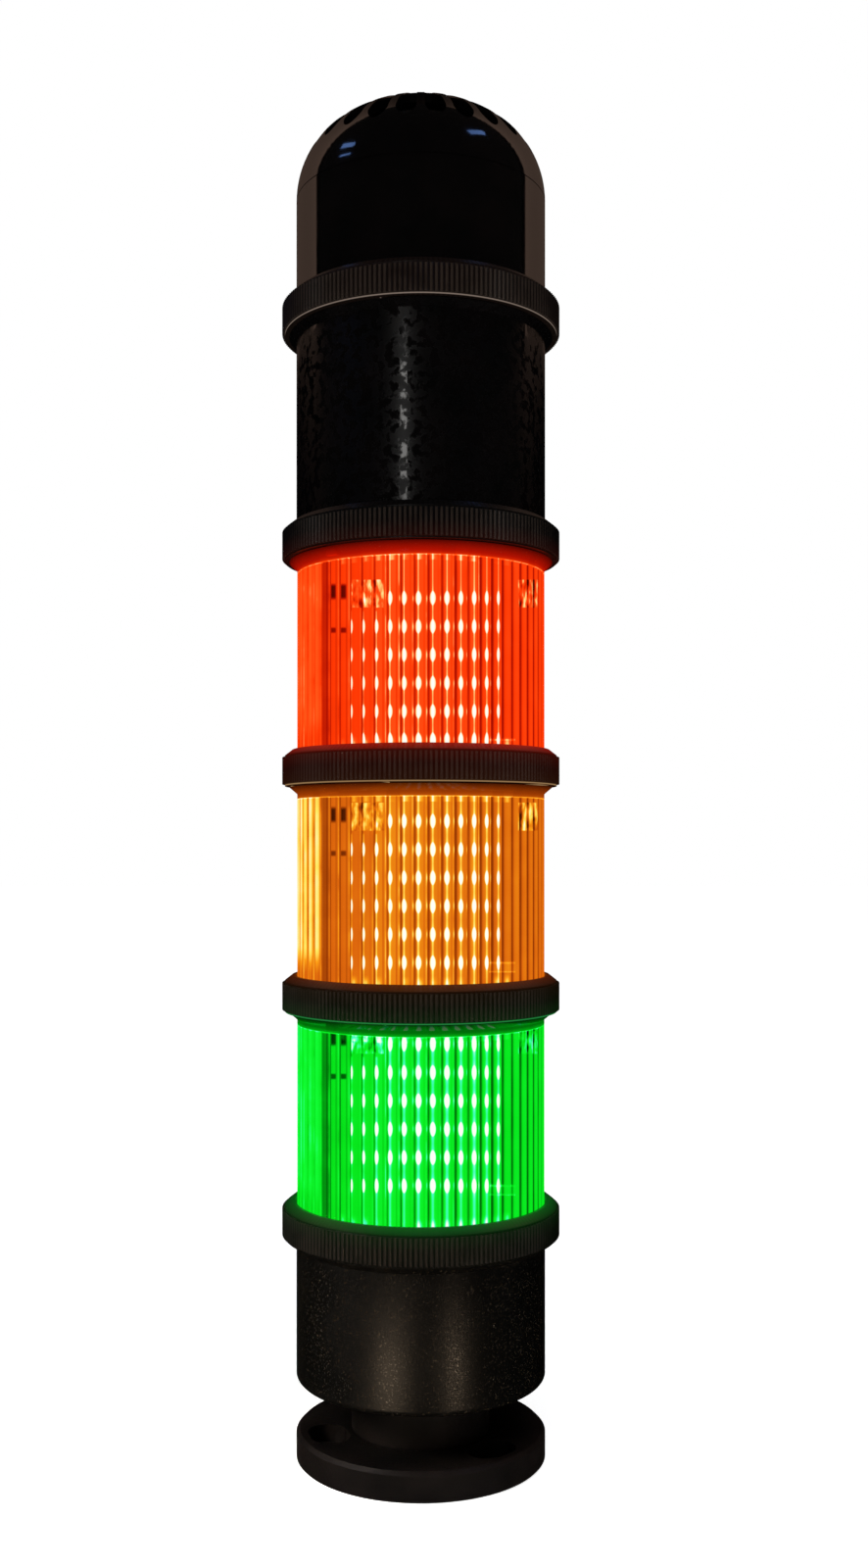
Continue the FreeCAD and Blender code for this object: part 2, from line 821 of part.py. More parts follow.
def leds(label, height):
    """A column of lamps on each face of the board."""
    width, depth, tall = cell("led_width"), cell("led_thickness"), cell("led_height")
    middle = (cell("led_rows") - 1) / 2
    lamps = []
    for y in faces_of_board(depth):
        for row in range(whole("led_rows")):
            level = cell("led_level") + cell("led_pitch") * (as_size(row) - middle) - tall / 2
            lamps.append(box("lamp", (-width / 2, y, level), (width, depth, tall)))
    finish(joined("Part::Compound", label + "_set", lamps), label, height)


def board_parts(label, height):
    """A driver chip and a row of resistors on the front of the board."""
    front = faces_of_board(cell("chip_thickness"))[0]
    depth, size = cell("chip_thickness"), cell("resistor_size")
    pieces = [box("chip", (-cell("chip_offset") - cell("chip_width") / 2, front,
                           cell("chip_level")),
                  (cell("chip_width"), depth, cell("chip_height")))]
    for number in range(1, whole("resistor_count") + 1):
        corner = (-cell("chip_offset") - size / 2, front,
                  cell("chip_level") - cell("resistor_pitch") * number)
        pieces.append(box("resistor", corner, (size, depth, size)))
    finish(joined("Part::Compound", label + "_set", pieces), label, height)


def relays(label, height):
    """Relay cans on the front of the bus module's board."""
    front = faces_of_board(cell("relay_depth"))[0]
    middle = (cell("relay_count") - 1) / 2
    cans = []
    for number in range(whole("relay_count")):
        x = cell("relay_pitch") * (as_size(number) - middle) - cell("relay_width") / 2
        cans.append(box("relay", (x, front, cell("relay_level")),
                        (cell("relay_width"), cell("relay_depth"), cell("relay_height"))))
    finish(joined("Part::Compound", label + "_set", cans), label, height)


# ------------------------------------------------------------------- sounder
seam = cell("sounder_seam")
lip_outer = cell("housing_radius") - cell("dome_wall") - cell("fit_gap")
lip_inner = lip_outer - cell("lip_wall")


def sounder_housing(height):
    """The sounder's lower shell, with a ledge for its board and a lip for its cap."""
    radius, chamfer = cell("housing_radius"), cell("seam_chamfer")
    ledge_inner = lip_inner - cell("ledge_width")
    ledge_bottom = cell("ledge_level") - cell("ledge_thickness")
    body = new_body("sounder_housing_body")
    revolve(body, [
        (shell_bore, flange_top),
        (radius, flange_top),
        (radius, seam - chamfer),
        (radius - chamfer, seam),
        (lip_outer, seam),
        (lip_outer, seam + cell("lip_height")),
        (lip_inner, seam + cell("lip_height")),
        (lip_inner, cell("ledge_level")),
        (ledge_inner, cell("ledge_level")),
        (ledge_inner, ledge_bottom),
        (shell_bore, ledge_bottom - cell("ledge_width")),
    ])
    finish(body, "sounder_housing", height)


def sounder_cap(height):
    """The dome: one sector with its slot between two half ribs, repeated around the axis."""
    radius, wall = cell("housing_radius"), cell("dome_wall")
    shoulder, rise = cell("dome_shoulder"), cell("dome_height")
    offset = radius - shoulder
    crown = (offset * offset + rise * rise - shoulder * shoulder) / ((rise - shoulder) * 2)
    drop = crown - rise
    reach = crown - shoulder

    def meeting(depth):
        """Where the two arcs meet, on a surface some depth below the outer one."""
        share = (shoulder - depth) / reach
        return offset + offset * share, seam + drop * share

    def crown_point(radius_out):
        return seam - drop + root(crown * crown - radius_out * radius_out)

    edge, recess = cell("crown_radius"), cell("crown_recess")
    pitch = as_size(360) / cell("slot_count")
    body = new_body("sounder_cap_body")
    sector = revolve(body, [
        (radius - wall, seam),
        (radius, seam),
        meeting(as_size(0)),
        (edge, crown_point(edge)),
        (edge, crown_point(edge) - recess),
        (0, seam + rise - recess),
        (0, seam + rise - wall),
        meeting(wall),
    ], {
        1: (shoulder, False),
        2: (crown, False),
        4: (crown, False),
        6: (crown - wall, True),
        7: (shoulder - wall, True),
    }, pitch)
    half_rib = cell("rib_width") / 2

    def beside_ribs(distance):
        """The slot's two sides at a distance along the ribs that border it."""
        far_side = (distance * cosine(pitch) + half_rib * sine(pitch),
                    distance * sine(pitch) - half_rib * cosine(pitch))
        return (distance, half_rib), far_side

    inner, outer = beside_ribs(cell("slot_inner")), beside_ribs(cell("slot_outer"))
    half_width = cell("slot_outer") * sine(pitch / 2) - half_rib * cosine(pitch / 2)
    slot = pocket(body, [inner[0], outer[0], outer[1], inner[1]], {1: (half_width * 1.02, False)},
                  seam + rise, rise - cell("slot_floor"))
    around(body, [sector, slot], cell("slot_count")).Refine = False
    finish(body, "sounder_cap", height)


def sounder_board(height):
    level = cell("ledge_level")
    body = new_body("sounder_board_body")
    ring_outline = [(0, level), (lip_inner - cell("slide_gap"), level),
                    (lip_inner - cell("slide_gap"), level + cell("board_thickness")),
                    (0, level + cell("board_thickness"))]
    revolve(body, ring_outline)
    finish(body, "sounder_board", height)


def transducer(height):
    """The sounding disc's can, with its mouth facing up at the dome."""
    bottom = cell("ledge_level") + cell("board_thickness")
    top = bottom + cell("transducer_height")
    body = new_body("transducer_body")
    revolve(body, [
        (0, bottom),
        (cell("transducer_radius"), bottom),
        (cell("transducer_radius"), top),
        (cell("mouth_radius"), top),
        (cell("mouth_radius"), top - cell("mouth_depth")),
        (0, top - cell("mouth_depth")),
    ])
    finish(body, "transducer", height)


# ------------------------------------------------------------------- the whole tower
foot()
ring_washer("foot_gasket", cell("gasket_inner_radius") + cell("slide_gap"),
            groove_outer - cell("slide_gap"), as_size(0), cell("gasket_depth"))
ring_washer("neck_seal", seal_inner + pocket_gap, seal_outer - pocket_gap,
            cell("housing_bottom") - cell("neck_seal_depth"), cell("housing_bottom"))
base_housing()
clamp_plate()
clamp_screws()
cable_grommet()
terminal_block()
terminal_screws()
socket_plate("base_socket_plate", joint_height(1))

knurl = knurled_band()
flutes = fluted_wall()
for joint in range(1, 6):
    locking_ring(f"locking_ring_{joint}", joint_height(joint), knurl)
    ring_washer(f"joint_seal_{joint}", tube_bore, tube_radius, tube_top, web_bottom,
                joint_height(joint))

for joint, unit in enumerate(("green", "amber", "red", "bus"), start=1):
    foot_height, head_height = joint_height(joint), joint_height(joint + 1)
    lit = unit != "bus"
    if lit:
        lens(f"{unit}_lens", foot_height, flutes)
        leds(f"{unit}_leds", foot_height)
    else:
        plain_housing(f"{unit}_housing", foot_height)
        relays(f"{unit}_relays", foot_height)
    plug_plate(f"{unit}_plug_plate", foot_height, board=True)
    contact_pins(f"{unit}_contact_pins", foot_height)
    upright_board(f"{unit}_board", foot_height)
    board_parts(f"{unit}_board_parts", foot_height)
    socket_plate(f"{unit}_socket_plate", head_height, legs=lit)

top_joint = joint_height(5)
plug_plate("sounder_plug_plate", top_joint)
contact_pins("sounder_contact_pins", top_joint)
sounder_housing(top_joint)
sounder_board(top_joint)
transducer(top_joint)
sounder_cap(top_joint)

# ------------------------------------------------------------------- check and write
doc.recompute()
for item in doc.Objects:
    if {"Invalid", "Error"} & set(item.State):
        raise RuntimeError(f"{item.Label} could not be built: {item.State}")
for label, item in parts.items():
    if item.Shape.isNull() or not item.Shape.isValid() or not item.Shape.Solids:
        raise RuntimeError(f"{label} has no valid solid")

os.makedirs("parts", exist_ok=True)
for label, item in parts.items():
    item.Shape.exportStep(f"parts/{label}.step")
    print(f"{label}: {len(item.Shape.Solids)} solids, {item.Shape.Volume / 1000:.2f} cm3")
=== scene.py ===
# %% [markdown]
# # A lit signal tower
# The tower is a stack of round modules that twist together. Its solids come ready made from the CAD frame, so this
# notebook is about finish: clear fluted lenses with light in them, polished and matt black mouldings, and the studio
# that they stand in. Each step says what the piece or finish is on a real tower, how it could be made, and why it is
# made the way that follows.

# %% Load the solids
import math

import bpy
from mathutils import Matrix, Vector


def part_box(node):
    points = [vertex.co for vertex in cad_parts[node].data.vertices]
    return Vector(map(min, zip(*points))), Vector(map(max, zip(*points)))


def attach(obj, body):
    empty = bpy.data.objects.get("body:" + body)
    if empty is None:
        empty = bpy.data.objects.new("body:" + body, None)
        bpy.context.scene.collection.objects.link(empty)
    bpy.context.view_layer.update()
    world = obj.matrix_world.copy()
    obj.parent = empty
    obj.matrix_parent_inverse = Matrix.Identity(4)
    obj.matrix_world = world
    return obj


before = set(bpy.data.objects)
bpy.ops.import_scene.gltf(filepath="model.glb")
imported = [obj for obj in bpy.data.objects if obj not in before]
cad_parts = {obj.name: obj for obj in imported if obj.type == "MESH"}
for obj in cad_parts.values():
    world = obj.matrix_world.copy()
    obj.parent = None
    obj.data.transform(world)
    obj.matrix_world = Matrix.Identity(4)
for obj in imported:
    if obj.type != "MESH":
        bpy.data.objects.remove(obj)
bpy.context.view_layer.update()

# %% [markdown]
# ## The view
# The tower is seen from close by, from a little under half its height. A camera could be tilted to centre the tower,
# but then its sides would lean together. A level camera keeps them upright, and a small lens shift slides the picture.

# %% Camera
EYE_HEIGHT = 0.1716
EYE_DISTANCE = 0.445
SENSOR_WIDTH = 36.0
FOCAL_LENGTH = 36.18
SHIFT_ACROSS, SHIFT_UP = 0.0084, 0.0388
NEAREST_SEEN = 0.01


def place_camera():
    lens = bpy.data.cameras.new("Camera")
    lens.sensor_width = SENSOR_WIDTH
    lens.lens = FOCAL_LENGTH
    lens.shift_x, lens.shift_y = SHIFT_ACROSS, SHIFT_UP
    lens.clip_start = NEAREST_SEEN
    camera = bpy.data.objects.new("Camera", lens)
    camera.location = (0, -EYE_DISTANCE, EYE_HEIGHT)
    camera.rotation_euler = (math.radians(90), 0, 0)
    bpy.context.scene.collection.objects.link(camera)
    bpy.context.scene.camera = camera
    return camera


camera = place_camera()
print("camera at", tuple(round(c, 4) for c in camera.location))

# %% [markdown]
# ## Shader maths as plain expressions
# A node tree for "one minus the mask, times the glow" is three boxes and four wires. Wrapping a socket in a small class
# lets the same thing be written as `(1 - mask) * glow`, and each operator adds its Math node. Three shapes turn up in
# every finish: a soft step, a band between two steps, and a bell.

# %% A value that varies over a surface
class Value:
    """A number or colour that comes out of a node."""

    def __init__(self, finish, socket):
        self.finish = finish
        self.socket = socket

    def maths(self, operation, *others):
        return self.finish.maths(operation, self, *others)

    def __add__(self, other):
        return self.maths("ADD", other)

    def __sub__(self, other):
        return self.maths("SUBTRACT", other)

    def __rsub__(self, other):
        return self.finish.maths("SUBTRACT", other, self)

    def __mul__(self, other):
        return self.maths("MULTIPLY", other)

    def __truediv__(self, other):
        return self.maths("DIVIDE", other)

    def __pow__(self, other):
        return self.maths("POWER", other)

    def __abs__(self):
        return self.maths("ABSOLUTE")

    __radd__ = __add__
    __rmul__ = __mul__

    def above(self, edge, blur):
        """0 below an edge and 1 above it, with a soft step between."""
        return self.finish.add(
            "MapRange", {"interpolation_type": "SMOOTHSTEP"},
            {"Value": self, "From Min": edge - blur, "From Max": edge + blur})

    def between(self, low, high, blur):
        """1 from a low edge to a high edge and 0 outside them."""
        return self.above(low, blur) * (1 - self.above(high, blur))

    def bell(self, middle, width):
        """A soft peak of height 1."""
        offset = (self - middle) / width
        return (offset * offset * -1).maths("EXPONENT")


# %% [markdown]
# ## A material under construction
# Every node comes from one method, `add`, which takes its type, its settings and what goes into its sockets. The
# methods below it are short names for the nodes that the finishes use most: a place on the tower, a cloudy noise, a
# ramp of colours and a bump.

# %% A material and the one method that adds its nodes
class Finish:
    """A material under construction."""

    def __init__(self, name, **constants):
        self.material = bpy.data.materials.new(name)
        self.material.use_nodes = True
        self.nodes = self.material.node_tree.nodes
        self.links = self.material.node_tree.links
        self.surface = self.nodes["Principled BSDF"]
        for socket, value in constants.items():
            self.surface.inputs[socket.replace("_", " ")].default_value = value

    def add(self, kind, settings={}, inputs={}, output=0):
        node = self.nodes.new("ShaderNode" + kind)
        for name, value in settings.items():
            if name == "stops":
                self.set_stops(node.color_ramp, value)
            else:
                setattr(node, name, value)
        for key, value in inputs.items():
            if isinstance(value, Value):
                self.links.new(value.socket, node.inputs[key])
            else:
                node.inputs[key].default_value = value
        return Value(self, node.outputs[output])

    def set_stops(self, ramp, stops):
        while len(ramp.elements) < len(stops):
            ramp.elements.new(1.0)
        for element, (position, colour) in zip(ramp.elements, stops):
            element.position = position
            element.color = colour + (1,)

    def maths(self, operation, *numbers):
        return self.add("Math", {"operation": operation}, dict(enumerate(numbers)))

    def coordinates(self):
        """Where a point lies on the tower, in metres."""
        return self.add("TexCoord", output="Object")

    def axes(self, wanted="XYZ"):
        place = self.coordinates()
        return [self.add("SeparateXYZ", {}, {0: place}, axis) for axis in wanted]

    def noise(self, size, detail=2.0):
        """Cloudy noise whose patches are about this size, in metres."""
        return self.add("TexNoise", {}, {"Vector": self.coordinates(), "Scale": 1 / size, "Detail": detail})

    def flat_noise(self, across, up, detail):
        """Cloudy noise on a sheet whose two directions are given."""
        sheet = self.add("CombineXYZ", {}, {"X": across, "Y": up})
        return self.add("TexNoise", {"noise_dimensions": "2D"}, {"Vector": sheet, "Scale": 1.0, "Detail": detail})

    def ramp(self, value, *stops):
        """The colour that a value stands for, from stops of a position and a colour each."""
        return self.add("ValToRGB", {"stops": stops}, {0: value})

    def feed(self, socket, value):
        self.links.new(value.socket, self.surface.inputs[socket])

    def bump(self, height, depth, strength=1.0):
        """Raise the surface by a height value, times a depth in metres."""
        self.feed("Normal", self.add("Bump", {}, {"Height": height, "Distance": depth, "Strength": strength}))


trial = Finish("Trial")
before = len(trial.nodes)
(1 - trial.noise(0.01)) * 0.5
print("(1 - noise) * 0.5 took", len(trial.nodes) - before, "nodes")
bpy.data.materials.remove(trial.material)

# %% [markdown]
# ## Colours
# Colours are easiest to choose as they look on a screen, from 0 to 255, but shaders add and multiply light, and a
# screen's numbers aren't light. The ramps could be filled with linear numbers by hand. Converting them here keeps the
# familiar ones in sight.

# %% From screen colour to light
def linear(red, green, blue):
    """A screen colour, 0 to 255, as the linear light that shaders work in."""
    shares = [channel / 255 for channel in (red, green, blue)]
    return tuple(share / 12.92 if share <= 0.04045 else ((share + 0.055) / 1.055) ** 2.4 for share in shares)


print("screen grey 128 is", round(linear(128, 128, 128)[0], 3), "of full light")

# %% [markdown]
# ## Dressing the solids
# Every solid arrives with the name of the material slot that it was given in the CAD record. Each could be dressed by
# its own name, but there are dozens, so a finish is given to slots, or to single solids that differ from their slot.

# %% Dressing
slot_of = {name: node.material_slots[0].material.name for name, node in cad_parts.items()}


def dress(finish, *names):
    """Give a finish to all solids that are named, either themselves or by their slot."""
    dressed = [name for name in slot_of if name in names or slot_of[name] in names]
    for name in dressed:
        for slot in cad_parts[name].material_slots:
            slot.material = finish
    print(f"{finish.name}:", ", ".join(dressed))


print("slots:", len(set(slot_of.values())))

# %% [markdown]
# ## Polished black shells
# The dome, the sounder's shell and the plain module are polished mouldings, so they take their look from what they
# mirror. What tells plastic from glass is that its gloss is never even. A map of scratches could do that, but noises
# need no file: the roughness wanders, rubbed patches are duller, and a shallow wave bends the reflections. The plain
# module is the one that hands take hold of, so its patches are stronger.

# %% Gloss black
CLOUD_SIZE = 0.012
SMEAR_SIZE = 0.0022
WAVE_SIZE, WAVE_DEPTH = 0.009, 0.00006
POLISH = 0.04
FAINT_SMEARS, STRONG_SMEARS = 0.02, 0.25


def gloss_black(name, smears):
    """Polished black, with patches that are rubbed duller by handling."""
    finish = Finish(name, IOR=1.49)
    cloud = finish.noise(CLOUD_SIZE)
    rubbed_and_rib_light = finish.noise(SMEAR_SIZE, 4.0).above(0.47, 0.06) * smears
    finish.feed("Base Color", finish.ramp(cloud, (0.3, linear(3, 3, 3)), (0.7, linear(7, 5, 5))))
    finish.feed("Roughness", cloud * 0.05 + rubbed_and_rib_light + POLISH)
    finish.bump(finish.noise(WAVE_SIZE, 0.0), WAVE_DEPTH, 0.25)
    return finish.material


dress(gloss_black("Gloss black moulding", FAINT_SMEARS), "housing_black")
dress(gloss_black("Smeared gloss black", STRONG_SMEARS), "bus_housing")

# %% [markdown]
# ## The base
# The mould of the base is sparked to a very fine grain, which shows as sparkles where a highlight falls on it. The
# grain could be cut into the mesh, at a huge cost in faces. A bump of the grain's size does it, and the grain's peaks
# are also paler and smoother, so that they catch the light.

# %% Sparkling black
SPARKLE_SIZE, SPARKLE_DEPTH = 0.0005, 0.00006


def sparkling_black():
    """Satin black with a fine grain whose peaks sparkle."""
    finish = Finish("Sparkling black moulding", IOR=1.5)
    grain = finish.noise(SPARKLE_SIZE, 2.0)
    cloud = finish.noise(CLOUD_SIZE)
    speck = grain.above(0.62, 0.03)
    finish.feed("Base Color", finish.ramp(
        cloud * 0.5 + speck * 0.6, (0.2, linear(4, 4, 3)), (0.6, linear(9, 8, 6)), (1.0, linear(62, 51, 37))))
    finish.feed("Roughness", cloud * 0.10 - speck * 0.16 + 0.36)
    finish.bump(grain, SPARKLE_DEPTH, 0.5)
    return finish.material


dress(sparkling_black(), "base_housing")

# %% [markdown]
# ## The foot
# The foot is a matt moulding with a slightly coarser grain that hides scratches. It is seen from above and close to the
# floor, so an even black would look like a hole. A cloudy tone and a grain in the roughness show that it is a surface.

# %% Textured black
FOOT_GRAIN_SIZE, FOOT_GRAIN_DEPTH = 0.0006, 0.0001
FOOT_CLOUD_SIZE = 0.014


def textured_black():
    """Matt black with a grain all over."""
    finish = Finish("Spark textured black moulding", IOR=1.45, Specular_IOR_Level=0.3)
    grain = finish.noise(FOOT_GRAIN_SIZE, 3.0)
    cloud = finish.noise(FOOT_CLOUD_SIZE)
    finish.feed("Base Color", finish.ramp(cloud, (0.3, linear(12, 9, 8)), (0.7, linear(26, 20, 17))))
    finish.feed("Roughness", grain * 0.20 + 0.42)
    finish.bump(grain, FOOT_GRAIN_DEPTH, 0.6)
    return finish.material


dress(textured_black(), "foot_black")

# %% [markdown]
# ## Locking rings
# A ring is turned by hand, and its ribs are painted lighter than the grooves between them: a painted highlight on the
# crests and painted shade in the grooves. The ribs are in the mesh already, so the finish only has to find them. A
# painted map could mark them, but counting them round the axis always fits.

# %% Ribs with painted light
RIBS = 180
RIBS_FROM, RIBS_TO = 0.0006, 0.0080
RING_GRAIN_SIZE, RING_GRAIN_DEPTH = 0.0004, 0.00004
RING_CLOUD_SIZE = 0.007


def ribs_with_painted_light(finish, x, y, z, low):
    """Satin black with a painted highlight on the ribs and painted shade in the grooves, on a ring whose lower edge is
    at a height.
    """
    turn = finish.maths("ARCTAN2", y, x) * (RIBS / math.tau)
    groove = abs(turn - turn.maths("ROUND")).above(0.26, 0.10)
    knurl = z.between(low + RIBS_FROM, low + RIBS_TO, 0.0002)
    grain, cloud = finish.noise(RING_GRAIN_SIZE), finish.noise(RING_CLOUD_SIZE, 3.0)
    # painted light: the rib crests are painted lighter, in patches, the grooves darker as painted shade, and the smooth
    # bands a middle value
    rib_light_patches = cloud.above(0.36, 0.22) * 0.6 + 0.4
    rubbed_and_rib_light = knurl * (1 - groove) * rib_light_patches + (1 - knurl) * 0.25
    finish.feed("Base Color", finish.ramp(
        rubbed_and_rib_light, (0.0, linear(3, 3, 2)), (0.25, linear(8, 6, 5)), (1.0, linear(52, 44, 38))))
    finish.feed("Roughness", grain * 0.12 + groove * 0.15 + 0.26)
    finish.bump(grain, RING_GRAIN_DEPTH, 0.5)


# %% [markdown]
# ### Light that the rings catch
# A ring's lower edge carries a thin painted reflection, a bright line, and the rings carry painted light in the colour
# of the lenses that they touch, strongest at the edge next to the lens. Real light could do that, but as part of the
# ring's own finish it stays with the exported model.

# %% Ring finish
# screen colours of painted light for each ring from the lowest up: the painted reflection on its lower edge, then the
# painted lens light from its foot to its head
CAUGHT_LIGHT = (
    ((4, 5, 2), (2, 3, 1), (3, 8, 2), (4, 24, 5), (8, 76, 18)),
    ((30, 130, 60), (5, 28, 5), (6, 10, 2), (18, 9, 2), (70, 24, 4)),
    ((150, 118, 80), (34, 12, 3), (30, 5, 2), (50, 7, 2), (136, 12, 3)),
    ((10, 2, 1), (26, 4, 2), (3, 1, 1), (1, 1, 1), (1, 1, 1)),
    ((122, 108, 98), (12, 7, 5), (8, 4, 3), (8, 4, 3), (9, 5, 4)),
)


def ring_black(name, low, high, caught):
    """Satin black with painted light on its ribs, a painted reflection along its lower edge, and painted light from the
    lenses that it touches.
    """
    finish = Finish(name, IOR=1.49, Specular_IOR_Level=0.4, Emission_Strength=1.0)
    x, y, z = finish.axes()
    ribs_with_painted_light(finish, x, y, z, low)
    height = (z - low) / (high - low)
    edge, foot, middle, shoulder, head = (linear(*colour) for colour in caught)
    # painted glow: a thin painted reflection just above the lower edge, and painted lens light that is strongest next
    # to a lens
    finish.feed("Emission Color", finish.ramp(
        height, (0.0, foot), (0.012, edge), (0.028, edge), (0.045, foot), (0.45, middle), (0.80, shoulder),
        (1.0, head)))
    return finish.material


for level, caught in enumerate(CAUGHT_LIGHT, start=1):
    ring = f"locking_ring_{level}"
    low, high = (corner.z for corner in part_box(ring))
    dress(ring_black(f"Satin black ring {level}", low, high, caught), ring)

# %% [markdown]
# ## Lit lenses
# Each lens is a clear tinted tube with flutes outside. A flute is a strong upright lens of its own: it squeezes the
# whole lit board behind it into one narrow picture, so every flute near the front shows the same column of chips, each
# one drawn out into a thin upright streak. Real refraction needs many samples and goes grainy, and it doesn't survive
# export, so the light is drawn where the flutes put it: a "heat" value for each point, turned into colour by a ramp.
#
# Everything is placed by a flute count, 0 at the middle of a face and growing to the right, because that is how the
# pictures repeat. The boards are lit on both faces, so the count starts again on the back.

# %% Where a point lies among the flutes
FLUTES = 60
RADIUS_OVER_DISTANCE = 0.078


def flute_place(finish):
    """The flute count, the whole flute's number, the height, and the height that is seen through the shell."""
    x, y, z = finish.axes()
    front = y.maths("SIGN") * -1
    turn = finish.maths("ARCTAN2", x * front, abs(y))
    flute = turn * (FLUTES / math.tau)
    number = flute.maths("ROUND")
    # a thing at the axis seems lower or higher on the shell than it is, by how far the eye is off its level
    parallax = turn.maths("COSINE") * RADIUS_OVER_DISTANCE
    seen_height = (z - parallax * EYE_HEIGHT) / (1 - parallax)
    return flute, number, z, seen_height


print("flutes:", FLUTES, "each", 360 / FLUTES, "degrees wide")

# %% [markdown]
# ### The chips
# A chip seen through a flute is a small upright oval, burnt out to white. Thin streaks join the ovals of a column, and
# each flute's far side adds a second, fainter row. Towards the sides the ovals get narrower and drift off the flute's
# middle. The top row is hidden on the left, behind a clip.

# %% Light of the chips
CHIP_ROWS = 6
CHIP_HEIGHT = 0.0028
CHIP_FLUTES = (-5.55, 6.5)
SECOND_FLUTES = (-2.2, 6.2)
HIDDEN_FLUTES = (-5.55, -2.6)
OVAL_WIDTH, OVAL_NARROWING, OVAL_HEIGHT = 0.23, 0.013, 0.23
OVAL_OFFSET, OFFSET_PER_FLUTE = -0.18, 0.035
HALO_SPREAD, HALO_HEIGHT = 1.8, 0.30
SECOND_PLACE, SECOND_WIDTH, SECOND_HEIGHT = 0.45, 0.055, 0.15
OVAL_LIGHT, STREAK_LIGHT, HALO_LIGHT, SECOND_LIGHT = 0.45, 0.29, 0.20, 0.34
CLIP_SHADE = 0.75


def chip_light(finish, flute, number, seen_height, chips, spread):
    """White ovals in a column on each front flute, joined by streaks of some spread."""
    across = flute - number
    first, last = (corner.z for corner in chips)
    row_pitch = (last - first - CHIP_HEIGHT) / (CHIP_ROWS - 1)
    row = (seen_height - (first + CHIP_HEIGHT / 2)) / row_pitch
    nearest = finish.add("Clamp", {}, {"Value": row.maths("ROUND"), "Min": 0, "Max": CHIP_ROWS - 1})
    off_row = row - nearest
    off_column = across - (number * OFFSET_PER_FLUTE + OVAL_OFFSET)

    half_width = OVAL_WIDTH - abs(number) * OVAL_NARROWING
    reach = (off_column / half_width) ** 2 + (off_row / OVAL_HEIGHT) ** 2
    oval = 1 - reach.above(1.0, 0.5)
    halo = off_column.bell(0, spread * HALO_SPREAD) * off_row.bell(0, HALO_HEIGHT)
    streak = off_column.bell(0, spread)
    light = oval * OVAL_LIGHT + streak * STREAK_LIGHT + halo * HALO_LIGHT
    shown = flute.between(*CHIP_FLUTES, 0.04)
    hidden = flute.between(*HIDDEN_FLUTES, 0.04) * row.above(CHIP_ROWS - 1.45, 0.05)
    second = across.bell(SECOND_PLACE, SECOND_WIDTH) * off_row.bell(0, SECOND_HEIGHT)
    second = second * flute.between(*SECOND_FLUTES, 0.1)
    return shown * (1 - hidden * CLIP_SHADE) * light + second * SECOND_LIGHT


for colour in ("green", "amber", "red"):
    first, last = (corner.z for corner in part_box(f"{colour}_leds"))
    print(colour, "chips from", round(first, 4), "to", round(last, 4))

# %% [markdown]
# ### The carrier
# The deck at the top of a module has clips, legs and slots, which show through a few flutes as patches of light and
# shade. They are fixed to the shell, so they are measured down from its head, or up from its foot, in metres.

# %% Shadows and glints of the carrier
SLOT_FLUTES = (-7.5, -5.5)
SLOT_SIDES = (-0.30, 0.20)
LONG_SLOT, SHORT_SLOT = (0.0096, 0.0056), (0.0192, 0.0178)
LONG_SLOT_SHADE, SHORT_SLOT_SHADE = 0.36, 0.28
LEFT_CLIP_FLUTES, RIGHT_CLIP_FLUTES = (-5.4, -2.7), (8.1, 11.6)
CLIP = (0.0121, 0.0042)
CLIP_HALF_WIDTH, CLIP_EDGE_SHADE = 0.30, 0.18
LEG_FLUTES = (5.2, 7.8)
LEG = (0.0062, 0.0088)
LEG_LIGHT, LEG_LINE_LIGHT = 0.10, 0.30
FLECKS_PER_FLUTE, FLECKS_PER_METRE = 2.3, 230


def carrier_marks(finish, flute, number, seen_height, shell):
    """The clips, legs and slots of the deck above, which show as blocks on a few flutes."""
    across = flute - number
    foot, head = (corner.z for corner in shell)

    def below_head(depths, blur):
        return seen_height.between(head - depths[0], head - depths[1], blur)

    slots = across.between(*SLOT_SIDES, 0.09) * flute.between(*SLOT_FLUTES, 0.02)
    shade = slots * below_head(LONG_SLOT, 0.0007) * LONG_SLOT_SHADE
    shade = shade + slots * below_head(SHORT_SLOT, 0.0004) * SHORT_SLOT_SHADE
    clips = flute.between(*LEFT_CLIP_FLUTES, 0.06) + flute.between(*RIGHT_CLIP_FLUTES, 0.06)
    clips = clips * below_head(CLIP, 0.0002)
    edges = clips * abs(across).above(CLIP_HALF_WIDTH, 0.04) * CLIP_EDGE_SHADE

    bottom, top = (foot + level for level in LEG)
    lines = seen_height.bell(top, 0.0003) + seen_height.bell(bottom, 0.0002)
    block = seen_height.between(bottom, top, 0.0002)
    leg = flute.between(*LEG_FLUTES, 0.04) * (block * LEG_LIGHT + lines * LEG_LINE_LIGHT)
    flecks = finish.flat_noise(flute * FLECKS_PER_FLUTE, seen_height * FLECKS_PER_METRE, 2.0)
    return clips * ((flecks - 0.36) * 1.2) + leg * flecks - edges - shade


for colour in ("green", "amber", "red"):
    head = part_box(f"{colour}_lens")[1].z
    print(colour, "clips from", round(head - CLIP[0], 4), "to", round(head - CLIP[1], 4))

# %% [markdown]
# ### The shell itself
# Between the ovals the tube glows in its own tint. No two flutes glow quite alike, the valleys between them are dark,
# and some edges catch a line of light. On the left, where the board is seen edge on, the flutes light up as plain
# strips next to a dark band. At the head and the foot the light gathers in bright spots, and the collar above the
# flutes carries painted shade from the ring above it, darkest next to the ring, with one painted bright line under it.

